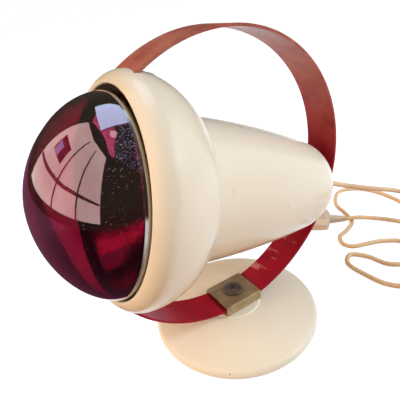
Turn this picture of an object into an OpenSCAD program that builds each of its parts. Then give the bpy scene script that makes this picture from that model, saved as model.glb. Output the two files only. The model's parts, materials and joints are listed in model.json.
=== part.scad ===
// Table lamp for infrared heat: a bell-shaped head on a long round neck, carried by a flat steel hoop.
// The hoop slides through a clamp on a round weighted foot, which tilts the head.
// Millimetres, +Z up. The origin is the middle of the foot's underside; the beam points to -Y.
// In the head's own frame, Y runs along the lamp's axis towards the rear and the origin is the hoop's centre.

/* [Hoop] */
// Outer radius of the hoop
hoop_r = 105; // [98:1:125]
// Width of the hoop's flat strap
hoop_w = 28; // [20:1:34]
// Thickness of the strap
hoop_t = 1.8; // [1.2:0.1:2.4]
// How far the beam points above level as stored
rest_tilt = 18.5; // [0:0.5:30]

/* [Bell] */
// Largest radius of the bell
bell_r = 72.5; // [70:0.5:80]
// Wall of the bell
bell_wall = 1.6; // [1.2:0.1:2.4]
// Radius of the rolled lip
lip_r = 14; // [12:0.5:16]
// How far the lip turns inwards
lip_turn = 59; // [45:1:62]
// Radius of the bead along the lip's edge
bead_r = 1.5; // [1.2:0.1:2]
// Radius of the shoulder behind the lip
shoulder_r = 43; // [36:1:48]
// How far in front of the bell's widest ring the hoop's outside is as wide as the bell
bell_step = 1.95228765; // [0:0.1:4]

/* [Neck] */
// Radius of the neck where it leaves the bell
neck_r = 50.5; // [48:0.5:58]
// Wall of the neck
neck_wall = 1.6; // [1.2:0.1:2.4]
// Radius of the neck's round rear end
neck_end_r = 37.4; // [32:0.2:40]

/* [Bulb] */
// Largest radius of the reflector bulb
bulb_r = 62; // [55:0.5:63]
// How far the front glass stands out of its widest ring
dome_h = 48.5; // [35:0.5:55]
// Fullness of the front glass: 2 is an ellipse, less is more pointed
dome_power = 1.85; // [1.7:0.05:2.2]
// Length of the whole bulb
bulb_l = 181; // [170:1:186]
// Angle by which the bulb and its holder hang down
bulb_sag = 0.5; // [0:0.1:0.6]
// Thickness of the glass
glass_t = 1.6; // [1:0.1:2]

/* [Foot] */
// Radius of the foot
foot_r = 71.2; // [60:0.5:90]
// Height of the foot's rounded edge
edge_h = 10; // [8:0.5:12]
// Height of the foot's middle, where the clamp sits
foot_h = 19.8; // [18:0.2:24]
// Radius of the raised seat under the clamp
seat_r = 22; // [20:0.5:26]
// Wall of the foot's cover
foot_wall = 1.6; // [1.2:0.1:2.4]

/* [Clamp] */
// Length of the clamp along the strap
clamp_l = 35.4; // [28:0.2:42]
// Sheet thickness of the clamp
clamp_t = 1.4; // [1:0.1:2]
// Room under the strap for the friction shoe
shoe_h = 2.4; // [2.2:0.1:4]
// Room over the strap for the pressure pad
pad_room = 3; // [2.2:0.1:4]
// Radius of the tension screw's head
screw_r = 8.2; // [6:0.1:10]

/* [Cord] */
// Diameter of the cord
cord_d = 4.6; // [4:0.1:5]
// Radius of the coil's outer turns, at the middle of the cord
coil_r = 31; // [28:0.5:36]
// Turns in the coil, which ends on the side facing the lamp
coil_turns = 4.6125; // [3.6125:1:5.6125]
// Gap between one turn and the next
coil_gap = 0.6; // [0.5:0.1:1.5]

/* [Plug] */
// Length of the plug's body
plug_l = 38; // [34:1:42]
// Width of the plug's body
plug_w = 35; // [32:0.5:37]
// Thickness of the plug's body
plug_t = 14; // [13:0.5:16]
// Distance between the two pins
pin_gap = 19; // [17.5:0.1:20]
// Radius of a pin
pin_r = 2; // [1.9:0.05:2.4]
// Length of a pin
pin_l = 19; // [17:0.5:20]

/* [Hidden] */

ivory = [0.90, 0.86, 0.78];
cream = [0.86, 0.78, 0.64];
brass = [0.62, 0.48, 0.27];
dark_steel = [0.24, 0.21, 0.21];
steel = [0.72, 0.72, 0.70];
strap_red = [0.55, 0.09, 0.11];
leather = [0.36, 0.25, 0.16];

clear = 0.2;          // between fitted pieces that don't move
slide_gap = 0.3;      // on either side of the sliding strap
rub_gap = 0.05;       // between the strap and what it is gripped by
arc_steps = 14;       // steps in each round stretch of an outline
$fn = 96;

// The foot, from the table up
pad_t = 2;
weight_top = 12;
weight_r = foot_r - 11;
boss_r = 14;
stud_r = 4;
nut_pocket = 12;
pocket_top = 8;
crown_h = foot_h - 0.9;
crown_end = 74;       // the angle at which the rounded edge runs into the crown
edge_r = edge_h / 2;
edge_c = [foot_r - edge_r, edge_r + 1.4];
edge_end = edge_c + edge_r * [cos(crown_end), sin(crown_end)];

// The clamp stands on the foot and the strap passes through it
shoe_z = foot_h + clamp_t;
hoop_bottom = shoe_z + shoe_h;
hoop_y = -2.5;        // the hoop's centre stands a little in front of the clamp's
hoop_z = hoop_bottom + hoop_r;
hoop_in = hoop_r - hoop_t;
plate_z = hoop_bottom + hoop_t + pad_room;
clamp_top = plate_z + clamp_t;
clamp_w = hoop_w + 2 * (clamp_t + slide_gap);
pad_w = hoop_w - 4;
pad_l = clamp_l - 8;
screw_shank = 3;

// The bell's widest ring is this far in front of the hoop's centre
bell_front = sqrt(hoop_r * hoop_r - bell_r * bell_r) - bell_step;
// The bell's outline: lip and shoulder are arcs round these two centres, as [radius, place on the axis]
lip_c = [bell_r - lip_r, -bell_front];
shoulder_c = [bell_r - shoulder_r, -bell_front];
shoulder_end = acos((neck_r - shoulder_c[0]) / shoulder_r);
neck_start = -bell_front + shoulder_r * sin(shoulder_end);
collar_out = neck_r - neck_wall - 0.7;
collar_in = collar_out - bell_wall;
collar_l = 8;

// The neck: a long shallow arc, then a round end, with a flat inside and out where it is clamped
seat_flat = 9;
bow_top = neck_start - 25;
bow_r = neck_r + 0.5;
neck_end = sqrt(hoop_in * hoop_in - seat_flat * seat_flat) - rub_gap;
ball_c = neck_end - sqrt(neck_end_r * neck_end_r - seat_flat * seat_flat);
bow = (bow_r * bow_r + pow(ball_c - bow_top, 2) - neck_end_r * neck_end_r) / (2 * (bow_r - neck_end_r));
bow_c = [bow_r - bow, bow_top];
bow_end = asin((ball_c - bow_top) / (bow - neck_end_r));
inner_ball = neck_end_r - neck_wall;
neck_floor = ball_c + sqrt(inner_ball * inner_ball - seat_flat * seat_flat);

// The bulb, from its tip to its contact
rim_s = -bell_front - 8;
ruby_edge = 6;        // the coloured glass begins this far in front of the widest ring
bulb_tip = rim_s - dome_h;
bulb_end = bulb_tip + bulb_l;
rim_round = 12;
rim_turn = 22;
cup_s = rim_s + rim_round * sin(rim_turn);
cup_r = bulb_r - rim_round * (1 - cos(rim_turn));
throat_r = 21;
cap_r = 13.2;
cap_l = 22;
cap_start = bulb_end - 27;
cap_end = cap_start + cap_l;
throat_l = 34.286744;   // from the cap forward to the reflector's throat
throat_s = cap_start - throat_l;
cup_l = (throat_s - cup_s) / (1 - pow(throat_r / cup_r, 2));
filament_s = throat_s - 34;
filament_r = 13;

// The lampholder and the hollow nipple that carries it
holder_r = 21;
shell_r = 14;
shell_t = 0.75;
spring_t = 0.8;
holder_start = cap_start + 1;
floor_s = bulb_end + 2 * spring_t;
chamber_s = floor_s + 3.5;
holder_back = chamber_s + 16;
holder_end = holder_back + 4;
sag_s = holder_end - 2;
terminal_x = 10.5;
terminal_r = 2.8;
nipple_r = 5;
nipple_bore = 3.9;
nipple_start = holder_back - 2;
locknut_t = 4;
nut_t = 5;
nut_r = 8;
nut_end = hoop_r + nut_t;

// The sleeve that the cord leaves through, partly inside the nipple
boot_in = 8;
boot_out = 14;
boot_end = nut_end + boot_out;
boot_tip_r = cord_d / 2 + 0.7;

// Where the strap's ends are fixed inside the bell
tab_n = bell_r - bell_wall - 3.1;
tab_w = 18;
tab_back = -bell_front + 8;
tab_screw_s = -bell_front + 1.5;
tab_end = 180 - asin((tab_n - hoop_t / 2) / hoop_in);
screw_l = 4.6;

// The plug lies on the table; its cord end is plug_at and its cord leaves it along plug_angle
plug_at = [-45.1, 169.6];
plug_angle = 48.7;
plug_edge = 6;
plug_bulge = 3;       // how far its cord end is rounded out
plug_boot = 20;
function plug_lead(l) = [plug_at[0] + l * cos(plug_angle), plug_at[1] + l * sin(plug_angle), plug_t / 2];

// The coil lies on the table behind the lamp, on its tie
coil_c = [83, 278];
coil_in_angle = 130.5;
coil_step = cord_d + coil_gap;
tie_t = 0.6;

// The cord's route, chosen by hand: from the head's rear to the coil, then over the table to the plug
cord_r = cord_d / 2;
flat = cord_r;
over = cord_r + cord_d + 0.7;
function cord_exit(l) = [0, hoop_y + (boot_end + l) * cos(rest_tilt), hoop_z - (boot_end + l) * sin(rest_tilt)];
run_route = [cord_exit(5), [1, 145, 75.5], [4, 175, 62.5], [7, 205, 50], [12, 233, 36], [24, 261, 18],
    [40, 281.5, 6.5], coil_end(0, 2.5)];
tail_route = [coil_end(1, 2.5), [40, 249.5, 4.5], [6, 259, flat], [-28, 267, flat], [-57, 266, flat],
    [-77, 255, flat], [-84, 238, flat], [-76, 221, flat], [-62, 207, flat], [-43, 200, flat], [-26, 190, flat],
    [-19, 172, flat], [-16, 158, flat], [-6, 150, flat], [4, 153, flat], [10, 165, flat], [18, 182, flat],
    [32, 196, flat], [53, 200, flat], [73, 190, flat], [83, 169, flat], [79, 145, flat], [62, 129, flat],
    [40, 125.5, flat], [20, 127, flat], [12, 140, flat], [25, 150, flat], [46, 155, flat], [60, 175, 3.5],
    [58, 200, over], [43, 221, 4.5], [19, 229, 3], [-5, 217, 4], [-22, 197, over], plug_lead(plug_boot + 5)];

// Points on an arc round c
function arc(c, r, a0, a1, n = arc_steps) =
    [for (i = [0 : n]) let (a = a0 + (a1 - a0) * i / n) c + r * [cos(a), sin(a)]];
function flip(p) = [for (i = [len(p) - 1 : -1 : 0]) p[i]];

// Height of the foot's crown at radius r
function crown_z(r) = crown_h - (crown_h - edge_end[1]) * pow(r / edge_end[0], 2.6);

// The front glass, a superellipse of radius r and height h, from its tip back to where the colour ends
function dome_point(r, h, a) = [r * pow(cos(a), 2 / dome_power), rim_s - h * pow(sin(a), 2 / dome_power)];
function colour_end(h) = asin(pow(ruby_edge / h, dome_power / 2));
function dome(r, h, n = 20) = [for (i = [0 : n]) dome_point(r, h, 90 - (90 - colour_end(h)) * i / n)];
// The band from there to the widest ring
function band(r, h, n = 4) = [for (i = [0 : n]) dome_point(r, h, colour_end(h) * (1 - i / n))];

// The reflector behind the widest ring: a parabola down to the throat, less t of glass
function cup(t, n = 16) = [for (i = [0 : n]) let (s = cup_s + (throat_s - cup_s) * i / n)
    [cup_r * sqrt(1 - (s - cup_s) / cup_l) - t, s]];

// A point of the coil for q from 0 to 1: inwards on the lower layer, outwards on the upper, and a climb
// from one to the other in the half turn between
function coil_point(q) = let (t = q * coil_turns, r = coil_r - coil_step * min(t, coil_turns - t),
        up = min(1, max(0, 2 * t - coil_turns + 0.5)), a = coil_in_angle - 360 * t)
    [coil_c[0] + r * cos(a), coil_c[1] + r * sin(a), tie_t + cord_r + coil_step * up * up * (3 - 2 * up)];
// Either end of the coil, 0 or 1, carried straight on by a number of cord diameters
function coil_end(q, diameters) = let (a = coil_in_angle - 360 * coil_turns * q, side = 1 - 2 * q)
    coil_point(q) + side * diameters * cord_d * [-sin(a), cos(a), 0];

// Smooth points through a route, and a path's length
function between(p, q, r, s, t) = 0.5 * (2 * q + (r - p) * t + (2 * p - 5 * q + 4 * r - s) * t * t
    + (3 * q - p - 3 * r + s) * t * t * t);
function smooth(p, steps = 2) = let (n = len(p))
    [for (i = [0 : n - 2]) for (j = [0 : steps - 1])
        between(p[max(0, i - 1)], p[i], p[i + 1], p[min(n - 1, i + 2)], j / steps), p[n - 1]];
function path_length(p) = [for (i = [1 : len(p) - 1]) norm(p[i] - p[i - 1])] * [for (i = [1 : len(p) - 1]) 1];

// One ring of a tube round point i of a path, square to the path
function unit(v) = v / norm(v);
function ring(p, i, r, sides) = let (d = unit(p[min(len(p) - 1, i + 1)] - p[max(0, i - 1)]),
        across = unit(cross(d, [0, 0, 1])), up = cross(across, d))
    [for (k = [0 : sides - 1]) let (a = 360 * (k + 0.5) / sides) p[i] + r * (across * cos(a) + up * sin(a))];

module tube(p, r, sides) {
    last = (len(p) - 1) * sides;
    points = [for (i = [0 : len(p) - 1]) each ring(p, i, r, sides)];
    walls = [for (i = [0 : len(p) - 2]) for (k = [0 : sides - 1])
        let (a = i * sides + k, b = i * sides + (k + 1) % sides)
        each [[a, a + sides, b], [b, a + sides, b + sides]]];
    caps = [for (k = [1 : sides - 2]) each [[0, k, k + 1], [last, last + k + 1, last + k]]];
    polyhedron(points, concat(walls, caps), convexity = 10);
}

// Places what is drawn in the head's frame
module in_head() translate([0, hoop_y, hoop_z]) rotate([-rest_tilt, 0, 0]) children();
// Places what hangs a little with the bulb
module with_bulb() in_head()
    translate([0, sag_s, 0]) rotate([bulb_sag, 0, 0]) translate([0, -sag_s, 0]) children();
// Turns an outline of [radius, place on the axis] about the lamp's axis
module turned(fn = $fn) rotate([-90, 0, 0]) rotate_extrude($fn = fn) children();
// Draws a flat shape across the lamp's axis from s0 to s1
module on_axis(s0, s1) translate([0, s0, 0]) rotate([-90, 0, 0]) linear_extrude(s1 - s0) children();
// Draws a flat shape in the hoop's own plane, w wide; its x is the lamp's axis and its y is up
module in_hoop(w) rotate([90, 0, 90]) translate([0, 0, -w / 2]) linear_extrude(w) children();
module washer(r, hole) difference() {
    circle(r);
    circle(hole);
}
// A straight round rod between two points
module rod(p, q, r) {
    d = q - p;
    translate(p) rotate([0, acos(d[2] / norm(d)), atan2(d[1], d[0])]) cylinder(r = r, h = norm(d), $fn = 16);
}
// Draws what belongs to the hoop's upper end at its lower end too
module both_ends() for (turn = [0, 180]) rotate([0, turn, 0]) children();

// ---- foot ----

// The foot's outline, drawn in by inset: a rounded edge under a shallow crown
module foot_profile(inset) {
    low = inset > 0 ? -1 : 1;
    edge = arc(edge_c, edge_r - inset, -75, crown_end, 12);
    last = edge[12][0];
    polygon(concat([[0, low], [edge[0][0], low]], edge,
        [for (i = [15 : -1 : 0]) [last * i / 16, crown_z(last * i / 16) - inset]]));
}

module foot_cover() {
    color(ivory) difference() {
        union() {
            rotate_extrude($fn = 144) difference() {
                foot_profile(0);
                foot_profile(foot_wall);
            }
            translate([0, 0, weight_top]) cylinder(r = boss_r, h = foot_h - weight_top);
            rotate_extrude($fn = 144) polygon([[0, foot_h - 3], [seat_r + 2, foot_h - 3],
                [seat_r + 1, crown_h - 0.2], [seat_r - 0.2, foot_h], [0, foot_h]]);
        }
        translate([0, 0, weight_top - 1]) cylinder(r = stud_r + clear, h = foot_h);
    }
}

module foot_weight() {
    color("dimgray") difference() {
        rotate_extrude($fn = 144) polygon([[0, pad_t], [weight_r, pad_t], [weight_r, weight_top - 5],
            [weight_r - 6, weight_top - 4], [weight_r - 20, weight_top], [0, weight_top]]);
        translate([0, 0, pad_t - 1]) cylinder(r = stud_r + clear, h = weight_top);
        translate([0, 0, pad_t - 1]) cylinder(r = nut_pocket, h = pocket_top - pad_t + 1);
    }
}

module foot_pad() {
    color([0.16, 0.15, 0.14]) cylinder(r = foot_r - 8, h = pad_t, $fn = 144);
}

// ---- clamp ----

// A rectangle of width w and height h standing on y = 0, with rounded corners
module rounded_box(w, h, r) {
    translate([-w / 2 + r, 0]) square([w - 2 * r, h]);
    translate([-w / 2, r]) square([w, h - 2 * r]);
    for (x = [-1, 1], y = [r, h - r]) translate([x * (w / 2 - r), y]) circle(r, $fn = 24);
}

module clamp_sleeve() {
    h = clamp_top - foot_h;
    color(brass) difference() {
        translate([0, clamp_l / 2, foot_h]) rotate([90, 0, 0]) linear_extrude(clamp_l) difference() {
            rounded_box(clamp_w, h, 1.2);
            translate([0, clamp_t]) rounded_box(clamp_w - 2 * clamp_t, h - 2 * clamp_t, 0.4);
        }
        translate([0, 0, plate_z - 1]) cylinder(r = screw_shank + 0.05, h = clamp_t + 2);
        translate([0, 0, foot_h - 1]) cylinder(r = stud_r + clear, h = clamp_t + 2);
    }
}

module tension_screw() {
    disc_h = 1.3;
    dome_r = 12;
    dome_top = disc_h + 1.4;
    color(dark_steel) translate([0, 0, clamp_top]) difference() {
        union() {
            rotate_extrude() polygon(concat([[0, 0], [screw_r, 0]], arc([screw_r - 1, disc_h], 1, 0, 180, 8),
                arc([0, dome_top - dome_r], dome_r, acos((screw_r - 2.2) / dome_r), 90, 8)));
            translate([0, 0, plate_z - clamp_top - 0.6]) cylinder(r = screw_shank, h = clamp_t + 1.2);
        }
        for (a = [20, 110]) rotate([0, 0, a]) translate([-3.4, -0.55, disc_h]) cube([6.8, 1.1, 3]);
    }
}

// The pads over and under the strap, each with the strap's curve
module pressure_pad() {
    low = hoop_bottom + hoop_t;
    color(leather) intersection() {
        translate([-pad_w / 2, -pad_l / 2, low]) cube([pad_w, pad_l, plate_z - 0.6 - low]);
        translate([0, hoop_y, hoop_z]) in_hoop(hoop_w) circle(hoop_in - rub_gap, $fn = 360);
    }
}

module friction_shoe() {
    color(leather) difference() {
        translate([-pad_w / 2, -pad_l / 2, shoe_z]) cube([pad_w, pad_l, shoe_h + 1]);
        translate([0, hoop_y, hoop_z]) in_hoop(2 * hoop_w) circle(hoop_r + rub_gap, $fn = 360);
        translate([0, 0, shoe_z - 1]) cylinder(r = 7 + clear, h = shoe_h + 3);
    }
}

module clamp_stud() {
    color(steel) {
        translate([0, 0, pad_t + 1]) cylinder(r = stud_r, h = shoe_z - pad_t - 1);
        translate([0, 0, shoe_z]) cylinder(r = 7, h = 1.6);
    }
}

module stud_washer() {
    color(steel) translate([0, 0, pocket_top - 1.2]) linear_extrude(1.2) washer(9, stud_r + 0.1);
}

module stud_nut() {
    color(steel) translate([0, 0, pocket_top - 5.2]) linear_extrude(4) difference() {
        circle(7.5, $fn = 6);
        circle(stud_r + 0.05);
    }
}

// ---- hoop ----

module hoop() {
    far = 3 * hoop_r;
    color(strap_red) in_head() difference() {
        union() {
            in_hoop(hoop_w) difference() {
                washer(hoop_r, hoop_in, $fn = 360);
                polygon([[0, 0], far * [cos(tab_end), sin(tab_end)], [-far, 0],
                    far * [cos(tab_end), -sin(tab_end)]]);
            }
            both_ends() in_hoop(tab_w) intersection() {
                translate([-hoop_r, tab_n - hoop_t / 2]) square([hoop_r + tab_back, hoop_t]);
                circle(hoop_r, $fn = 360);
            }
        }
        on_axis(hoop_in - 5, hoop_r + 5) circle(nipple_r + 0.15);
        both_ends() translate([0, tab_screw_s, tab_n - 5]) cylinder(r = 1.7, h = 10);
    }
}

module hoop_screws() {
    color(steel) in_head() both_ends() translate([0, tab_screw_s, tab_n - hoop_t / 2]) {
        translate([0, 0, -1.6]) cylinder(r = 3.2, h = 1.6);
        cylinder(r = 1.5, h = screw_l);
    }
}

module hoop_nut() {
    color(ivory) in_head() difference() {
        turned() polygon([[0, hoop_r], [nut_r, hoop_r], [nut_r, nut_end - 0.8], [nut_r - 0.8, nut_end],
            [0, nut_end]]);
        on_axis(hoop_r - 1, nut_end + 1) circle(nipple_r + 0.05);
    }
}

// ---- housing ----

module bell() {
    bead_c = lip_c + (lip_r - bead_r) * [cos(lip_turn), -sin(lip_turn)];
    inner_end = asin((neck_start - bell_wall + bell_front) / (shoulder_r - bell_wall));
    color(ivory) in_head() difference() {
        union() {
            turned(180) polygon(concat(
                arc(lip_c, lip_r, -lip_turn, 0), arc(shoulder_c, shoulder_r, 0, shoulder_end, 20),
                [[collar_out, neck_start], [collar_out - 0.4, neck_start + collar_l],
                    [collar_in, neck_start + collar_l], [collar_in, neck_start - bell_wall]],
                arc(shoulder_c, shoulder_r - bell_wall, inner_end, 0, 20),
                arc(lip_c, lip_r - bell_wall, 0, -lip_turn),
                arc(bead_c, bead_r, 185 - lip_turn, 360 - lip_turn, 10)));
            both_ends() tab_pad();
        }
        in_hoop(hoop_w + 2 * clear) intersection() {
            washer(hoop_r + clear, hoop_in - clear, $fn = 360);
            translate([-hoop_r, -hoop_r]) square([hoop_r - shoulder_c[0], 2 * hoop_r]);
        }
        both_ends() translate([0, tab_screw_s, 0]) cylinder(r = 1.55, h = tab_n - hoop_t / 2 + screw_l + clear);
    }
}

// The flat inside the bell that a strap end is screwed to
module tab_pad() {
    intersection() {
        translate([-tab_w / 2 - 2, -bell_front - 3, tab_n + hoop_t / 2])
            cube([tab_w + 4, tab_back + bell_front + 5, 6]);
        on_axis(-bell_front - 10, tab_back + 10) circle(bell_r - bell_wall / 2, $fn = 180);
    }
}

module neck() {
    color(ivory) in_head() difference() {
        turned(180) difference() {
            neck_shape(0, neck_start, neck_end);
            neck_shape(neck_wall, neck_start - 1, neck_floor);
        }
        on_axis(neck_floor - 5, neck_end + 5) circle(nipple_r + 0.15);
    }
}
// The neck's filled outline, drawn in by inset, from start to end
module neck_shape(inset, start, end) {
    first = asin((start - bow_top) / (bow - inset));
    tip = asin((end - ball_c) / (neck_end_r - inset));
    polygon(concat([[0, start]], arc(bow_c, bow - inset, first, bow_end, 20),
        arc([0, ball_c], neck_end_r - inset, bow_end + 4, tip, 16), [[0, end]]));
}

// ---- bulb ----

module bulb_front() {
    color([0.45, 0.02, 0.05, 0.8]) with_bulb() turned(120) polygon(concat(
        dome(bulb_r, dome_h), flip(dome(bulb_r - glass_t, dome_h - glass_t))));
}

module bulb_reflector() {
    round_c = [bulb_r - rim_round, rim_s];
    taper_s = cap_start - 5;
    color([0.80, 0.79, 0.76]) with_bulb() turned(120) polygon(concat(
        band(bulb_r, dome_h), arc(round_c, rim_round, 4, rim_turn, 5), cup(0),
        [[throat_r - 1, throat_s + 12], [throat_r - 1.5, taper_s], [cap_r, cap_start],
            [cap_r - glass_t, cap_start], [throat_r - 1.5 - glass_t, taper_s],
            [throat_r - 1 - glass_t, throat_s + 12]],
        flip(cup(glass_t)), flip(arc(round_c, rim_round - glass_t, 4, rim_turn, 5)),
        flip(band(bulb_r - glass_t, dome_h - glass_t))));
}

// The glass stem with its two support wires
module bulb_mount() {
    stem_s = throat_s - 22;
    color([0.75, 0.75, 0.72]) with_bulb() {
        turned(48) polygon([[0, stem_s], [2.4, stem_s], [3.2, stem_s + 14], [6, throat_s + 10],
            [cap_r - glass_t, cap_start], [0, cap_start]]);
        for (x = [-1, 1]) rod([x * 1.6, stem_s + 1, 0], [x * (filament_r - 0.4), filament_s, 0], 0.5);
    }
}

// The wound wire, in an open ring across the axis
module filament() {
    steps = 28;
    color([0.35, 0.33, 0.32]) with_bulb() tube([for (i = [0 : steps]) let (a = -115 + 230 * i / steps)
        [filament_r * sin(a), filament_s - 0.9, filament_r * cos(a)]], 0.9, 6);
}

module bulb_cap() {
    turns = 5;
    pitch = (cap_l - 4) / turns;
    color([0.78, 0.74, 0.62]) with_bulb() turned(64) polygon(concat(
        [[cap_r - 2, cap_start], [cap_r - 0.3, cap_start]],
        [for (i = [0 : turns - 1]) each [[cap_r - 0.9, cap_start + 2 + i * pitch],
            [cap_r, cap_start + 2 + (i + 0.5) * pitch]]],
        [[cap_r - 0.9, cap_end - 2], [cap_r - 1.6, cap_end], [cap_r - 2, cap_end]]));
}

module cap_insulator() {
    color([0.06, 0.06, 0.07]) with_bulb() turned(48) polygon([[0, cap_end - 3], [cap_r - 2, cap_end - 3],
        [cap_r - 2, cap_end], [5.5, bulb_end - 2], [0, bulb_end - 2]]);
}

module cap_contact() {
    color(brass) with_bulb() turned(48) polygon([[0, bulb_end - 2], [4.8, bulb_end - 2], [4.2, bulb_end - 0.6],
        [2.5, bulb_end], [0, bulb_end]]);
}

// ---- lampholder ----

module holder_body() {
    bore_r = nipple_r + 0.08;
    color([0.86, 0.84, 0.78]) with_bulb() difference() {
        turned() polygon([[0, floor_s], [shell_r + 0.05, floor_s], [shell_r + 0.05, holder_start],
            [holder_r, holder_start], [holder_r, holder_start + 14], [holder_r - 1.5, holder_start + 16],
            [holder_r - 1.5, holder_end - 4], [holder_r - 5, holder_end], [bore_r, holder_end],
            [bore_r, holder_back], [holder_r - 5, holder_back], [holder_r - 5, chamber_s], [0, chamber_s]]);
        for (x = [-1, 1]) translate([x * terminal_x, 0, 0])
            on_axis(floor_s - 1, chamber_s + 1) circle(1.6, $fn = 32);
    }
}

// The threaded brass shell, with the tongue of its floor that reaches one terminal
module holder_shell() {
    color(brass) with_bulb() {
        on_axis(holder_start + 1.5, floor_s) washer(shell_r, shell_r - shell_t);
        on_axis(floor_s - 0.6, floor_s) intersection() {
            washer(shell_r, 8);
            translate([6, -4]) square([10, 8]);
        }
    }
}

// The springy tongue under the bulb's contact, on the other terminal
module holder_contact() {
    color(brass) with_bulb() {
        translate([-7, bulb_end, -3]) cube([12, spring_t, 6]);
        translate([-12.4, bulb_end + spring_t, -3]) cube([7.4, spring_t, 6]);
    }
}

module holder_terminals() {
    color(brass) with_bulb() for (x = [-1, 1]) translate([x * terminal_x, 0, 0]) {
        on_axis(floor_s, chamber_s) circle(1.5, $fn = 32);
        on_axis(chamber_s, chamber_s + 5) circle(terminal_r, $fn = 32);
    }
}

module nipple() {
    color(steel) in_head() on_axis(nipple_start, nut_end) washer(nipple_r, nipple_bore);
}

module nipple_locknut() {
    color(steel) in_head() on_axis(neck_floor - locknut_t, neck_floor) difference() {
        circle(8.5, $fn = 6);
        circle(nipple_r + 0.05);
    }
}

// The tapered sleeve that the cord leaves through
module cord_boot() {
    bore = cord_r + 0.05;
    plug_r = nipple_bore - 0.05;
    color(cream) in_head() turned(48) polygon(concat(
        [[bore, nut_end - boot_in], [plug_r, nut_end - boot_in], [plug_r, nut_end], [6, nut_end],
            [6, nut_end + 2]],
        arc([boot_tip_r + 40, boot_end], 40, 197, 180, 6),
        [[boot_tip_r - 0.4, boot_end], [bore, boot_end]]));
}

module inner_lead() {
    color(cream) in_head() on_axis(nipple_start + 3, boot_end) circle(cord_r, $fn = 32);
}

// The two cores from the lead to the terminals
module inner_cores() {
    post = chamber_s + 2.5;
    for (x = [-1, 1]) color(x > 0 ? "sienna" : "steelblue") with_bulb() tube(smooth([
        [x * 1.1, nipple_start + 2.9, 0], [x * 1.2, nipple_start - 1, 0], [x * 2.6, nipple_start - 5, 0.6],
        [x * 5, post + 1.2, 0.4], [x * (terminal_x - terminal_r - 0.15), post, 0]], 3), 0.9, 6);
}

// ---- cord and plug ----

// The stretches that lie loose, each carried straight into what it meets
module cord_run() {
    loose_cord(concat([cord_exit(0.1)], smooth(run_route), [coil_end(0, 1)]));
}
module cord_tail() {
    loose_cord(concat([coil_end(1, 1)], smooth(tail_route), [plug_lead(plug_boot)]));
}
module loose_cord(p) {
    echo(length = path_length(p), rings = len(p));
    color(cream) tube(p, cord_r, 8);
}

module cord_coil() {
    half = 12;        // steps in half a turn
    steps = ceil(coil_turns * 2 * half);
    p = concat([coil_end(0, 1)], [for (i = [0 : steps]) coil_point(i / steps)], [coil_end(1, 1)]);
    echo(length = path_length(p), least_gap =
        min([for (i = [0 : len(p) - 1 - half]) for (j = [i + half : len(p) - 1]) norm(p[i] - p[j])]) - cord_d);
    color(cream) tube(p, cord_r, 6);
}

// The band that holds the coil together
module cord_tie() {
    high = coil_step + cord_d;
    wide = coil_step * coil_turns / 2 + cord_d + 1;
    color([0.80, 0.76, 0.68]) translate([coil_c[0] + coil_r + cord_r + 0.5 - wide / 2, coil_c[1] + 3, 0])
        rotate([90, 0, 0]) linear_extrude(6) difference() {
            rounded_box(wide + 2 * tie_t, high + 2 * tie_t + 0.2, 2);
            translate([0, tie_t]) rounded_box(wide, high + 0.2, 1.4);
        }
}

module at_plug() translate([plug_at[0], plug_at[1], plug_t / 2]) rotate([0, 0, plug_angle]) children();

// The plug is full thickness in the middle and thin along both sides, with a rounded-out cord end
module plug_body() {
    side = plug_w / 2;
    m = side - plug_edge;
    h = plug_t / 2;
    corner = 2;           // cut off each corner at the pins' end
    shoulder = 3;         // and at the cord end
    groove = [1.6, 0.6];  // width and depth of each grip groove
    groove_step = 4;
    section = [[side, h / 2], [m, h], [-m, h], [-side, h / 2]];
    end_r = (m * m + plug_bulge * plug_bulge) / (2 * plug_bulge);
    color(ivory) at_plug() {
        difference() {
            intersection() {
                translate([-plug_l, 0, 0]) rotate([90, 0, 90]) linear_extrude(plug_l + plug_bulge)
                    polygon(concat(section, -section));
                translate([0, 0, -h]) linear_extrude(plug_t) {
                    polygon([[corner - plug_l, -side], [-shoulder, -side], [0, shoulder - side],
                        [0, side - shoulder], [-shoulder, side], [corner - plug_l, side],
                        [-plug_l, side - corner], [-plug_l, corner - side]]);
                    intersection() {
                        translate([plug_bulge - end_r, 0]) circle(end_r, $fn = 180);
                        translate([-1, -m]) square([plug_bulge + 1, 2 * m]);
                    }
                }
            }
            for (face = [-1, 1], x = [8 - plug_l : groove_step : -6])
                translate([x, 1 - m, face * h - groove[1]])
                    cube([groove[0], 2 * m - 2, 2 * groove[1]]);
        }
        rotate([0, 90, 0]) cylinder(r1 = 5.4, r2 = cord_r + 0.8, h = plug_boot);
    }
}

module plug_pins() {
    color([0.80, 0.70, 0.45]) at_plug() for (y = [-1, 1])
        translate([-plug_l - pin_l, y * pin_gap / 2, 0]) rotate([0, 90, 0]) rotate_extrude($fn = 32)
            polygon([[0, 0], [pin_r - 0.8, 0], [pin_r, 1], [pin_r, pin_l], [0, pin_l]]);
}

foot_cover();
foot_weight();
foot_pad();
clamp_sleeve();
tension_screw();
pressure_pad();
friction_shoe();
clamp_stud();
stud_washer();
stud_nut();
hoop();
hoop_screws();
hoop_nut();
bell();
neck();
bulb_front();
bulb_reflector();
bulb_mount();
filament();
bulb_cap();
cap_insulator();
cap_contact();
holder_body();
holder_shell();
holder_contact();
holder_terminals();
nipple();
nipple_locknut();
cord_boot();
inner_lead();
inner_cores();
cord_run();
cord_coil();
cord_tail();
cord_tie();
plug_body();
plug_pins();
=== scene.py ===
"""Looks, cord, light and camera for the infrared heat lamp. Metres, in the CAD frame."""

import json
import math

import bpy
from mathutils import Matrix, Vector


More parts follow.
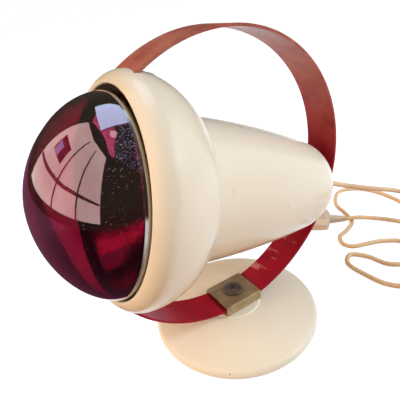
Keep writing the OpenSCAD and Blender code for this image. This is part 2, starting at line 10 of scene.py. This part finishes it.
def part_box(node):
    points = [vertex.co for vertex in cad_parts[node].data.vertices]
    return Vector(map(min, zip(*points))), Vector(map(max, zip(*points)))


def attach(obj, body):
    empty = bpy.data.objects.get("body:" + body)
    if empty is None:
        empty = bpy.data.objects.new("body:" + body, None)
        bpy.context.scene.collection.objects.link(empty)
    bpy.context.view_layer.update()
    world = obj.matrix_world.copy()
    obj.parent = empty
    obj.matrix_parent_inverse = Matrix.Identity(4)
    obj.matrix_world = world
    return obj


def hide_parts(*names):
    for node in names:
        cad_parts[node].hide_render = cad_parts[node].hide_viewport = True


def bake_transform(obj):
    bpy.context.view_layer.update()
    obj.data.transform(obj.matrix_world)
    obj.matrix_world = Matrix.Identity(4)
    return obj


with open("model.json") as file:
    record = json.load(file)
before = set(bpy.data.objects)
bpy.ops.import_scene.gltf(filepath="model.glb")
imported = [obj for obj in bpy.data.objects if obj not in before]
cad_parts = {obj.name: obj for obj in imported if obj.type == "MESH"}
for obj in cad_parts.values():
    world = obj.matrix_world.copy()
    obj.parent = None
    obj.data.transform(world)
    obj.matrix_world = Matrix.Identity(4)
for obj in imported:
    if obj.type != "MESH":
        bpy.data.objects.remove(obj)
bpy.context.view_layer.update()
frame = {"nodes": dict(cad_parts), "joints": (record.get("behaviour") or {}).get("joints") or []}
nodes = frame["nodes"]
hinge = Vector(frame["joints"][0]["pos_m"])


# ---- camera ----

PHOTO = 400  # pixels along each side of the photograph
CAMERA_AT = Vector((0.2022, -0.1311, 0.2517))
AZIMUTH, ELEVATION, ROLL = math.radians(63.31), math.radians(33.33), math.radians(-9.54)
FOCAL_PX = 368.8
CENTRE_PX = (192.9, 233.9)


def make_camera():
    """The photograph's camera. Azimuth 0 looks along +Y."""
    back = Vector((math.sin(AZIMUTH) * math.cos(ELEVATION), -math.cos(AZIMUTH) * math.cos(ELEVATION),
                   math.sin(ELEVATION)))
    right = Vector((math.cos(AZIMUTH), math.sin(AZIMUTH), 0))
    up = back.cross(right)
    across = math.cos(ROLL) * right + math.sin(ROLL) * up
    above = math.cos(ROLL) * up - math.sin(ROLL) * right
    data = bpy.data.cameras.new("camera")
    data.sensor_width = 36
    data.lens = data.sensor_width * FOCAL_PX / PHOTO
    data.shift_x = 0.5 - CENTRE_PX[0] / PHOTO
    data.shift_y = CENTRE_PX[1] / PHOTO - 0.5
    data.clip_start, data.clip_end = 0.01, 50
    camera = bpy.data.objects.new("camera", data)
    bpy.context.scene.collection.objects.link(camera)
    camera.matrix_world = Matrix.Translation(CAMERA_AT) @ Matrix((across, above, back)).transposed().to_4x4()
    bpy.context.scene.camera = camera


make_camera()


# ---- cord ----

CORD_D = 0.0046
CORD_R = CORD_D / 2
FLAT = CORD_R
OVER = CORD_R + CORD_D + 0.0007
EXIT_REACH = 0.124  # from the hinge to the end of the rear sleeve
EXIT_FALL = math.radians(18.5)
COIL_C = (0.083, 0.278)
COIL_R, COIL_TURNS, COIL_STEP, COIL_IN = 0.031, 4.6125, 0.0052, 130.5
TIE_T = 0.0006
PLUG_AT, PLUG_ANGLE, PLUG_BOOT, PLUG_T = (-0.0451, 0.1696), math.radians(48.7), 0.020, 0.014


def cord_exit(reach):
    """A point behind the rear sleeve, on the lamp's axis."""
    along = EXIT_REACH + reach
    return Vector((0, hinge.y + along * math.cos(EXIT_FALL), hinge.z - along * math.sin(EXIT_FALL)))


def plug_lead(reach):
    """A point in front of the plug's cord end, on the plug's axis."""
    along = Vector((math.cos(PLUG_ANGLE), math.sin(PLUG_ANGLE), 0))
    return Vector((*PLUG_AT, PLUG_T / 2)) + reach * along


def coil_point(q):
    """A point of the coil, from 0 to 1: inwards on the lower layer, a climb, and outwards on the upper."""
    turn = q * COIL_TURNS
    radius = COIL_R - COIL_STEP * min(turn, COIL_TURNS - turn)
    up = min(1, max(0, 2 * turn - COIL_TURNS + 0.5))
    angle = math.radians(COIL_IN - 360 * turn)
    return Vector((COIL_C[0] + radius * math.cos(angle), COIL_C[1] + radius * math.sin(angle),
                   TIE_T + CORD_R + COIL_STEP * up * up * (3 - 2 * up)))


def coil_end(q, diameters):
    """Either end of the coil, 0 or 1, carried straight on."""
    angle = math.radians(COIL_IN - 360 * COIL_TURNS * q)
    return coil_point(q) + (1 - 2 * q) * diameters * CORD_D * Vector((-math.sin(angle), math.cos(angle), 0))


def smooth(points, steps):
    """Points along a smooth curve through a route."""
    made = []
    for i in range(len(points) - 1):
        p, q, r, s = (Vector(points[max(0, min(len(points) - 1, i + k))]) for k in (-1, 0, 1, 2))
        for j in range(steps):
            t = j / steps
            made.append(0.5 * (2 * q + (r - p) * t + (2 * p - 5 * q + 4 * r - s) * t * t
                               + (3 * q - p - 3 * r + s) * t ** 3))
    return made + [Vector(points[-1])]


RUN_ROUTE = [cord_exit(0.005), (0.001, 0.145, 0.0755), (0.004, 0.175, 0.0625), (0.007, 0.205, 0.050),
             (0.012, 0.233, 0.036), (0.024, 0.261, 0.018), (0.040, 0.2815, 0.0065), coil_end(0, 2.5)]
TAIL_ROUTE = [coil_end(1, 2.5), (0.040, 0.2495, 0.0045), (0.006, 0.259, FLAT), (-0.028, 0.267, FLAT),
              (-0.057, 0.266, FLAT), (-0.077, 0.255, FLAT), (-0.084, 0.238, FLAT), (-0.076, 0.221, FLAT),
              (-0.062, 0.207, FLAT), (-0.043, 0.200, FLAT), (-0.026, 0.190, FLAT), (-0.019, 0.172, FLAT),
              (-0.016, 0.158, FLAT), (-0.006, 0.150, FLAT), (0.004, 0.153, FLAT), (0.010, 0.165, FLAT),
              (0.018, 0.182, FLAT), (0.032, 0.196, FLAT), (0.053, 0.200, FLAT), (0.073, 0.190, FLAT),
              (0.083, 0.169, FLAT), (0.079, 0.145, FLAT), (0.062, 0.129, FLAT), (0.040, 0.1255, FLAT),
              (0.020, 0.127, FLAT), (0.012, 0.140, FLAT), (0.025, 0.150, FLAT), (0.046, 0.155, FLAT),
              (0.060, 0.175, 0.0035), (0.058, 0.200, OVER), (0.043, 0.221, 0.0045), (0.019, 0.229, 0.003),
              (-0.005, 0.217, 0.004), (-0.022, 0.197, OVER), plug_lead(PLUG_BOOT + 0.005)]


def tube(name, path, radius, sides=14):
    """A round tube along a path, with closed ends."""
    mesh = bpy.data.meshes.new(name)
    corners, faces = [], []
    for i, point in enumerate(path):
        ahead = (path[min(i + 1, len(path) - 1)] - path[max(i - 1, 0)]).normalized()
        across = ahead.cross(Vector((0, 0, 1))).normalized()
        above = across.cross(ahead)
        for k in range(sides):
            angle = math.tau * k / sides
            corners.append(point + radius * (math.cos(angle) * across + math.sin(angle) * above))
        if i:
            here, back = i * sides, (i - 1) * sides
            faces += [(back + k, here + k, here + (k + 1) % sides, back + (k + 1) % sides)
                      for k in range(sides)]
    faces += [tuple(range(sides)), tuple(range(len(corners) - 1, len(corners) - sides - 1, -1))]
    mesh.from_pydata(corners, [], faces)
    mesh.shade_smooth()
    piece = bpy.data.objects.new(name, mesh)
    bpy.context.scene.collection.objects.link(piece)
    return piece


def make_cord():
    """The whole cord, from the head's rear through the coil to the plug."""
    coil_steps = math.ceil(COIL_TURNS * 48)
    path = ([cord_exit(0)] + smooth(RUN_ROUTE, 8) + [coil_end(0, 1)]
            + [coil_point(i / coil_steps) for i in range(coil_steps + 1)]
            + [coil_end(1, 1)] + smooth(TAIL_ROUTE, 8) + [plug_lead(PLUG_BOOT - 0.001)])
    cord = tube("cord", path, CORD_R)
    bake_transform(cord)
    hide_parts("cord_run", "cord_coil", "cord_tail")


make_cord()


# ---- the bulb's front glass ----

def make_front_glass():
    """The bulb's front as its CAD node is, but shaded smoothly from facet to facet."""
    node = nodes["bulb_front"]
    corners = {}
    own = [corners.setdefault(tuple(round(c, 7) for c in node.matrix_world @ vertex.co), len(corners))
           for vertex in node.data.vertices]
    mesh = bpy.data.meshes.new("front_glass")
    mesh.from_pydata(list(corners), [], [[own[i] for i in face.vertices] for face in node.data.polygons])
    mesh.shade_smooth()
    mesh.set_sharp_from_angle(angle=math.radians(40))
    glass = bpy.data.objects.new("front_glass", mesh)
    bpy.context.scene.collection.objects.link(glass)
    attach(glass, "head")
    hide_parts("bulb_front")


make_front_glass()


# ---- materials ----

class Look:
    """A material's nodes, built up one by one round one surface shader."""

    def __init__(self, name, colour, roughness=0.5, metallic=0.0, **inputs):
        self.material = bpy.data.materials.new(name)
        self.material.use_nodes = True
        self.tree = self.material.node_tree
        self.shader = self.tree.nodes["Principled BSDF"]
        self.set(self.shader, "Base Color", (*colour, 1))
        self.set(self.shader, "Roughness", roughness)
        self.set(self.shader, "Metallic", metallic)
        for key, value in inputs.items():
            self.set(self.shader, key.replace("_", " "), value)
        self.place = self.add("TexCoord").outputs["Object"]

    def add(self, kind, **settings):
        """A new node of a kind, with its settings."""
        node = self.tree.nodes.new("ShaderNode" + kind)
        for key, value in settings.items():
            setattr(node, key, value)
        return node

    def set(self, node, name, value):
        """Gives a node's input a value or a link."""
        if isinstance(value, bpy.types.NodeSocket):
            self.tree.links.new(value, node.inputs[name])
        else:
            node.inputs[name].default_value = value

    def noise(self, scale, detail=4, roughness=0.55, place=None):
        """A noise value from 0 to 1."""
        node = self.add("TexNoise")
        self.set(node, "Vector", place or self.place)
        self.set(node, "Scale", scale)
        self.set(node, "Detail", detail)
        self.set(node, "Roughness", roughness)
        return node.outputs["Fac"]

    def stretched(self, x, y, z):
        """The place, scaled along each axis."""
        node = self.add("VectorMath", operation="MULTIPLY")
        self.set(node, 0, self.place)
        node.inputs[1].default_value = (x, y, z)
        return node.outputs[0]

    def part(self, axis):
        """One coordinate of the place: X, Y or Z."""
        node = self.add("SeparateXYZ")
        self.set(node, 0, self.place)
        return node.outputs[axis]

    def ramp(self, value, low, high, out_low=0.0, out_high=1.0):
        """value from low to high, as out_low to out_high."""
        node = self.add("MapRange")
        self.set(node, "Value", value)
        self.set(node, "From Min", low)
        self.set(node, "From Max", high)
        self.set(node, "To Min", out_low)
        self.set(node, "To Max", out_high)
        return node.outputs["Result"]

    def math(self, operation, a, b=0.0):
        """A sum of two values."""
        node = self.add("Math", operation=operation)
        self.set(node, 0, a)
        self.set(node, 1, b)
        return node.outputs[0]

    def mix(self, share, a, b, blend="MIX"):
        """Two colours mixed."""
        node = self.add("Mix", data_type="RGBA", blend_type=blend)
        for index, value in ((0, share), (6, a), (7, b)):
            self.set(node, index, (*value, 1) if isinstance(value, tuple) else value)
        return node.outputs[2]

    def specks(self, scale, size, keep):
        """1 on small scattered specks: of all cells only the share keep has one."""
        cells = self.add("TexVoronoi")
        self.set(cells, "Vector", self.place)
        self.set(cells, "Scale", scale)
        chosen = self.math("LESS_THAN", self.channel(cells.outputs["Color"]), keep)
        near = self.math("LESS_THAN", cells.outputs["Distance"], size)
        return self.math("MULTIPLY", chosen, near)

    def channel(self, colour):
        """A colour's first channel."""
        node = self.add("SeparateColor")
        self.set(node, 0, colour)
        return node.outputs[0]

    def bump(self, height, strength, distance=0.001):
        """Roughens the surface by a height."""
        node = self.add("Bump")
        self.set(node, "Height", height)
        self.set(node, "Strength", strength)
        self.set(node, "Distance", distance)
        self.set(self.shader, "Normal", node.outputs["Normal"])

    def colour(self, value):
        self.set(self.shader, "Base Color", value)
        return self

    def rough(self, value):
        self.set(self.shader, "Roughness", value)
        return self


def enamel(name, colour, yellowed):
    """Glossy ivory stove enamel, a little uneven and yellowed, with small chips and specks."""
    look = Look(name, colour, 0.3, Coat_Weight=0.4, Coat_Roughness=0.1, Specular_IOR_Level=0.4)
    tone = look.mix(look.ramp(look.noise(9, 1), 0.2, 0.8), colour, yellowed)
    tone = look.mix(look.ramp(look.noise(60, 1), 0.4, 0.9, 0, 0.12), tone, tuple(0.88 * c for c in colour))
    dark = look.math("MAXIMUM", look.specks(75, 0.045, 0.10), look.specks(190, 0.09, 0.025))
    look.colour(look.mix(look.math("MULTIPLY", dark, 0.8), tone, (0.13, 0.09, 0.06)))
    look.rough(look.ramp(look.noise(30, 2), 0.1, 0.9, 0.25, 0.33))
    look.bump(look.math("ADD", look.noise(110, 1), look.math("MULTIPLY", look.noise(900, 2), 0.25)), 0.025)
    return look.material


def strap_paint():
    """Crimson lacquer on sheet steel, brick at the top, with pale flecks where the clamp rubs."""
    crimson, brick = (0.34, 0.008, 0.022), (0.42, 0.150, 0.105)
    maroon, bare = (0.13, 0.006, 0.012), (0.62, 0.22, 0.20)
    look = Look("strap_paint", crimson, 0.35, Specular_IOR_Level=0.1)
    # Brick colour blends in unevenly towards the top of the hoop, by height alone.
    high = look.ramp(look.part("Z"), 0.12, 0.21)
    brick_towards_top = look.math("MULTIPLY", high, look.ramp(look.noise(30, 4), 0.25, 0.6, 0.5, 1))
    tone = look.mix(brick_towards_top, crimson, brick)
    tone = look.mix(look.ramp(look.noise(70, 5), 0.45, 0.8, 0, 0.55), tone, maroon)
    grain = look.noise(90, 4, 0.6, look.stretched(0.35, 1, 1))
    behind_clamp = look.ramp(look.part("Y"), 0.022, 0.03)
    rubbed = look.math("MULTIPLY", behind_clamp, look.ramp(look.part("Z"), 0.062, 0.05))
    flecks = look.math("MULTIPLY", look.ramp(grain, 0.58, 0.64, 0, 0.7), rubbed)
    scuffs = look.math("MULTIPLY", look.ramp(look.noise(60, 6, 0.7), 0.62, 0.70, 0, 0.5), high)
    worn = look.math("MAXIMUM", look.math("MAXIMUM", flecks, scuffs), look.specks(260, 0.14, 0.05))
    look.colour(look.mix(worn, tone, bare))
    look.rough(look.ramp(look.noise(45, 5), 0.3, 0.7, 0.22, 0.42))
    look.bump(look.noise(220, 3), 0.08)
    return look.material


def old_brass(name, colour, tarnish):
    """Brass plate, tarnished in patches and finely scratched along its length."""
    look = Look(name, colour, 0.38, 0.65)
    patch = look.ramp(look.noise(75, 6, 0.62), 0.36, 0.66)
    scratches = look.noise(420, 4, 0.6, look.stretched(1, 0.12, 1))
    tone = look.mix(patch, colour, tarnish)
    look.colour(look.mix(look.ramp(scratches, 0.45, 0.75, 0, 0.5), tone, tuple(0.5 * c for c in tarnish)))
    look.rough(look.ramp(look.noise(55, 5), 0.3, 0.7, 0.3, 0.55))
    look.bump(look.math("ADD", scratches, look.noise(130, 4)), 0.12, 0.0005)
    return look.material


def metal(name, colour, roughness, tarnish=0.35):
    """Plain metal with a light uneven tarnish."""
    look = Look(name, colour, roughness, 0.9)
    look.colour(look.mix(look.ramp(look.noise(90, 5), 0.4, 0.75), colour, tuple(tarnish * c for c in colour)))
    look.rough(look.ramp(look.noise(150, 4), 0.3, 0.7, roughness * 0.8, min(1, roughness * 1.4)))
    look.bump(look.noise(500, 3), 0.1, 0.0004)
    return look.material


def ruby_glass():
    """Deep ruby glass with a strong shine, and dust on its upper half."""
    ruby, deep, grey = (0.62, 0.07, 0.18), (0.48, 0.05, 0.14), (0.55, 0.47, 0.46)
    look = Look("ruby_glass", ruby, IOR=1.5, Coat_Weight=1.0, Coat_Roughness=0.015, Coat_IOR=2.5)
    stain = look.mix(look.ramp(look.noise(22, 3), 0.3, 0.7), ruby, deep)
    settled = look.ramp(look.part("Z"), 0.10, 0.19, 0.05, 1)
    dust = look.math("MAXIMUM", look.specks(700, 0.16, 0.10), look.specks(1400, 0.2, 0.10))
    dust = look.math("MULTIPLY", dust, settled)
    look.colour(look.mix(dust, stain, grey))
    look.set(look.shader, "Transmission Weight", look.ramp(dust, 0, 1, 1, 0.35))
    look.rough(look.ramp(look.noise(240, 4), 0.55, 0.8, 0.015, 0.08))
    look.bump(look.noise(28, 2), 0.015)
    return look.material


def mirrored_glass():
    """The bulb's reflector: metal deposited on glass."""
    silver, dull = (0.50, 0.46, 0.42), (0.36, 0.32, 0.28)
    look = Look("mirrored_glass", silver, metallic=1.0)
    look.colour(look.mix(look.ramp(look.noise(35, 4), 0.4, 0.8), silver, dull))
    look.rough(look.ramp(look.noise(60, 4), 0.3, 0.7, 0.08, 0.2))
    return look.material


def clear_glass():
    """The lamp's inner glass."""
    look = Look("stem_glass", (0.93, 0.95, 0.94), 0.03, Transmission_Weight=0.9, IOR=1.5)
    look.bump(look.noise(120, 2), 0.05)
    return look.material


def moulded(name, colour, shade, roughness=0.4, grain=350):
    """Moulded plastic, rubber or ceramic, with a fine grain and uneven ageing."""
    look = Look(name, colour, roughness)
    look.colour(look.mix(look.ramp(look.noise(28, 4), 0.35, 0.75), colour, shade))
    look.rough(look.ramp(look.noise(80, 4), 0.3, 0.7, roughness * 0.85, min(1, roughness * 1.25)))
    look.bump(look.noise(grain, 3), 0.12, 0.0004)
    return look.material


def cord_rubber():
    """The cord's aged cream sheath, darker where it was handled."""
    cream, tanned = (0.82, 0.57, 0.34), (0.62, 0.38, 0.20)
    look = Look("cord_rubber", cream, 0.42)
    tone = look.mix(look.ramp(look.noise(22, 4), 0.45, 0.75), cream, tanned)
    look.colour(look.mix(look.ramp(look.noise(300, 3), 0.5, 0.9, 0, 0.4), tone, (0.34, 0.2, 0.1)))
    look.bump(look.noise(600, 3), 0.1, 0.0004)
    return look.material


def woven(name, colour, shade):
    """A narrow woven band."""
    look = Look(name, colour, 0.85)
    threads = look.add("TexWave", wave_type="BANDS", bands_direction="DIAGONAL")
    look.set(threads, "Vector", look.place)
    look.set(threads, "Scale", 900)
    look.colour(look.mix(threads.outputs["Fac"], colour, shade))
    look.bump(threads.outputs["Fac"], 0.4, 0.0003)
    return look.material


IVORY, YELLOWED = (0.82, 0.74, 0.62), (0.79, 0.69, 0.54)
LOOKS = {
    enamel("housing_enamel", IVORY, YELLOWED): ["bell", "neck", "hoop_nut"],
    enamel("foot_enamel", (0.82, 0.75, 0.63), YELLOWED): ["foot_cover"],
    strap_paint(): ["hoop"],
    old_brass("clamp_brass", (0.58, 0.44, 0.26), (0.34, 0.24, 0.12)): ["clamp_sleeve"],
    metal("screw_steel", (0.30, 0.25, 0.23), 0.5, 0.5): ["tension_screw"],
    metal("plain_steel", (0.55, 0.55, 0.54), 0.35): ["clamp_stud", "stud_washer", "stud_nut", "hoop_screws",
                                                      "nipple", "nipple_locknut"],
    metal("contact_brass", (0.66, 0.50, 0.24), 0.32): ["bulb_cap", "cap_contact", "holder_shell",
                                                        "holder_contact", "holder_terminals", "plug_pins"],
    metal("wire_metal", (0.30, 0.28, 0.26), 0.4): ["filament", "inner_cores"],
    ruby_glass(): ["front_glass"],
    mirrored_glass(): ["bulb_reflector"],
    clear_glass(): ["bulb_mount"],
    moulded("black_insulator", (0.012, 0.012, 0.015), (0.03, 0.03, 0.03), 0.2): ["cap_insulator"],
    moulded("holder_ceramic", (0.72, 0.69, 0.60), (0.60, 0.55, 0.45), 0.25): ["holder_body"],
    moulded("ballast", (0.05, 0.05, 0.05), (0.09, 0.07, 0.06), 0.8, 120): ["foot_weight"],
    moulded("foot_rubber", (0.02, 0.018, 0.016), (0.05, 0.045, 0.04), 0.85): ["foot_pad"],
    moulded("pad_leather", (0.12, 0.065, 0.03), (0.06, 0.03, 0.015), 0.6, 220): ["pressure_pad",
                                                                                "friction_shoe"],
    moulded("plug_plastic", (0.66, 0.54, 0.42), (0.54, 0.37, 0.25), 0.4): ["plug_body"],
    cord_rubber(): ["cord_boot", "inner_lead", "cord"],
    woven("tie_fabric", (0.60, 0.54, 0.42), (0.42, 0.36, 0.26)): ["cord_tie"],
}
for material, pieces in LOOKS.items():
    for name in pieces:
        surface = bpy.data.objects[name].data.materials
        surface.clear()
        surface.append(material)


# ---- floor and light ----

BULB_CENTRE = (Vector(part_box("bulb_front")[0]) + Vector(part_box("bulb_front")[1])) / 2
CARD_REACH, ROOM_REACH = 2.0, 3.0
BARS_REACH, NEAR_REACH = 1.3, 1.2   # what lies in front of the pale panel
FLOOR_REACH = 9
LAMP_MIDDLE = (0, 0, 0.1)


def stage_mesh(name, points, faces, material):
    """A stage piece."""
    mesh = bpy.data.meshes.new(name)
    mesh.from_pydata(points, [], faces)
    mesh.materials.append(material)
    piece = bpy.data.objects.new(name, mesh)
    bpy.context.scene.collection.objects.link(piece)
    return piece


def behind_scenes(piece, shine=True):
    """Leaves a stage piece to what glass shows and, if wanted, to reflections."""
    piece.visible_camera = piece.visible_diffuse = False
    piece.visible_shadow = piece.visible_volume_scatter = False
    piece.visible_glossy = shine


def backdrop_ray(look):
    """1 for a ray that shows the background: straight, in a shine or through glass."""
    ray = look.add("LightPath")
    shine = look.math("MAXIMUM", ray.outputs["Is Glossy Ray"], ray.outputs["Is Transmission Ray"])
    return look.math("MAXIMUM", ray.outputs["Is Camera Ray"], shine)


def make_floor():
    """A plain white floor, which sends warm light up at the lamp."""
    look = Look("floor", (0.5, 0.5, 0.5), 0.9, Specular_IOR_Level=0.0, Emission_Color=(1, 1, 1, 1))
    seen = backdrop_ray(look)
    look.colour(look.mix(seen, (0.54, 0.37, 0.24), (0.33, 0.42, 0.55)))
    look.set(look.shader, "Emission Strength", look.math("MULTIPLY", seen, 0.86))
    far = FLOOR_REACH
    corners = [(-far, -far, 0), (far, -far, 0), (far, far, 0), (-far, far, 0)]
    stage_mesh("floor", corners, [(0, 1, 2, 3)], look.material)


def towards(azimuth, elevation):
    """A direction in degrees; azimuth 0 is the way the lamp shines and 90 is +X."""
    a, e = math.radians(azimuth), math.radians(elevation)
    return Vector((math.sin(a) * math.cos(e), -math.cos(a) * math.cos(e), math.sin(e)))


def glow(name, colour=(0, 0, 0), strength=1.0):
    """A plain material that gives off light of its own."""
    look = Look(name, (0, 0, 0), 1.0, Specular_IOR_Level=0.0, Emission_Color=(*colour, 1))
    look.set(look.shader, "Emission Strength", strength)
    return look


def card(name, corners, look, reach=CARD_REACH, shine=True):
    """A soft panel whose corners are directions from the bulb; shine says if reflections show it."""
    rim = [towards(*corner) for corner in corners]
    middle = sum(rim, Vector()).normalized()
    points = [BULB_CENTRE + reach * way for way in [middle] + rim]
    faces = [(0, i, i % len(rim) + 1) for i in range(1, len(rim) + 1)]
    behind_scenes(stage_mesh(name, points, faces, look.material), shine)


def make_room():
    """A dark wall before the lamp and a dim purple table below, which only shines and glass show."""
    wall = glow("wall")
    shine = wall.mix(wall.ramp(wall.part("Z"), -0.5, 1.2), (0.020, 0.010, 0.012), (0.060, 0.056, 0.040))
    through = wall.add("LightPath").outputs["Is Transmission Ray"]
    wall.set(wall.shader, "Emission Color", wall.mix(through, shine, (0.05, 0.04, 0.04)))
    across, up = range(-175, 116, 10), range(-4, 87, 10)  # degrees
    points = [BULB_CENTRE + ROOM_REACH * towards(a, e) for e in up for a in across]
    row = len(across)
    faces = [(j * row + i, j * row + i + 1, (j + 1) * row + i + 1, (j + 1) * row + i)
             for j in range(len(up) - 1) for i in range(row - 1)]
    behind_scenes(stage_mesh("wall", points, faces, wall.material))
    table = glow("table")
    table.set(table.shader, "Emission Color", table.mix(table.ramp(table.part("X"), -0.35, 0.10),
                                                        (0.17, 0.06, 0.11), (0.035, 0.008, 0.014)))
    near, far, side, height = -0.11, -3.2, 3, 0.001
    edge = [(-side, far, height), (side, far, height), (side, near, height), (-side, near, height)]
    behind_scenes(stage_mesh("table", edge, [(0, 1, 2, 3)], table.material))


def make_cards():
    """Soft panels that mirror in the bulb: a pale window with bars, a blue one and a flecked one."""
    plaster = glow("plaster", strength=1.4)
    tone = plaster.mix(plaster.ramp(plaster.noise(0.9, 3), 0.35, 0.65), (1.0, 0.86, 0.78), (0.86, 0.64, 0.58))
    plaster.set(plaster.shader, "Emission Color", tone)
    card("plaster", [(-60, 4), (-62, 30), (-70, 60), (-20, 69), (36, 64), (34, 34), (32, 4), (-14, 5)],
         plaster)
    opening = glow("opening", (0.22, 0.07, 0.08), 0.5)
    card("opening", [(-52, 32), (-56, 44), (-32, 48), (-30, 34)], opening, NEAR_REACH)
    pane = glow("pane", (0.55, 0.45, 0.85), 1.0)
    card("pane", [(-50, 33), (-53, 40), (-42, 42), (-41, 34)], pane, NEAR_REACH - 0.1)
    bars = glow("bars", (0.12, 0.06, 0.06))
    for azimuth in (-23, 5):
        card("bar_upright", [(azimuth, 3), (azimuth - 1, 66), (azimuth + 2, 66), (azimuth + 2, 3)],
             bars, BARS_REACH)
    card("bar_across", [(-60, 20), (-14, 25), (33, 22), (33, 20), (-14, 23), (-60, 18)], bars, BARS_REACH)
    sky = glow("sky_patch", (0.55, 0.72, 1.0), 2.4)
    card("sky_patch", [(-97, 49), (-116, 48), (-140, 54), (-165, 64), (-157, 74), (-105, 82), (-52, 77)],
         sky, 1.4)
    flecked = glow("flecks")
    fleck = flecked.ramp(flecked.noise(22, 4, 0.7), 0.55, 0.63)
    flecked.set(flecked.shader, "Emission Color", flecked.mix(fleck, (0.05, 0.045, 0.04), (0.8, 0.9, 1.3)))
    card("flecks", [(-118, 47), (-140, 52), (-165, 50), (162, 45), (130, 38), (100, 45), (79, 56), (59, 66),
                    (70, 80), (-157, 80)], flecked, 1.6)


def make_overhead():
    """The bright sky overhead, which the bulb's mirror shows through the red glass."""
    card("overhead", [(75, 60), (45, 68), (-20, 80), (-75, 62), (-98, 53), (-112, 75), (170, 84), (95, 72)],
         glow("overhead", (1.0, 1.0, 1.0), 4.0), CARD_REACH + 0.1, False)


def area_light(name, place, size, power, colour):
    """A soft round light at a place, turned towards the lamp, which shows in no reflection."""
    data = bpy.data.lights.new(name, "AREA")
    data.shape = "DISK"
    data.size = size
    data.energy = power
    data.color = colour
    light = bpy.data.objects.new(name, data)
    bpy.context.scene.collection.objects.link(light)
    light.location = place
    light.rotation_mode = "QUATERNION"
    light.rotation_quaternion = (Vector(LAMP_MIDDLE) - Vector(place)).to_track_quat("-Z", "Y")
    light.visible_glossy = light.visible_transmission = False


def make_world():
    """White for every ray that shows the background, and a dimmer, warmer one for what lights the lamp."""
    world = bpy.data.worlds.new("world")
    bpy.context.scene.world = world
    world.use_nodes = True
    tree = world.node_tree
    tree.nodes.clear()
    ray = tree.nodes.new("ShaderNodeLightPath")
    shown = ray.outputs["Is Camera Ray"]
    for kind in ("Is Glossy Ray", "Is Transmission Ray"):
        either = tree.nodes.new("ShaderNodeMath")
        either.operation = "MAXIMUM"
        tree.links.new(shown, either.inputs[0])
        tree.links.new(ray.outputs[kind], either.inputs[1])
        shown = either.outputs[0]
    sky = tree.nodes.new("ShaderNodeBackground")
    sky.inputs["Color"].default_value = (0.74, 0.60, 0.48, 1)
    sky.inputs["Strength"].default_value = 0.72
    white = tree.nodes.new("ShaderNodeBackground")
    white.inputs["Color"].default_value = (1, 1, 1, 1)
    white.inputs["Strength"].default_value = 1.0
    mixed = tree.nodes.new("ShaderNodeMixShader")
    output = tree.nodes.new("ShaderNodeOutputWorld")
    tree.links.new(shown, mixed.inputs[0])
    tree.links.new(sky.outputs[0], mixed.inputs[1])
    tree.links.new(white.outputs[0], mixed.inputs[2])
    tree.links.new(mixed.outputs[0], output.inputs["Surface"])


make_floor()
make_world()
make_room()
make_cards()
make_overhead()
area_light("sky_right", place=(0.9, 0.9, 1.1), size=0.9, power=21, colour=(0.70, 0.87, 1.0))
area_light("warm_left", place=(-0.3, -1.2, 0.5), size=0.8, power=14, colour=(1.0, 0.80, 0.60))
bpy.context.scene.view_settings.view_transform = "Standard"
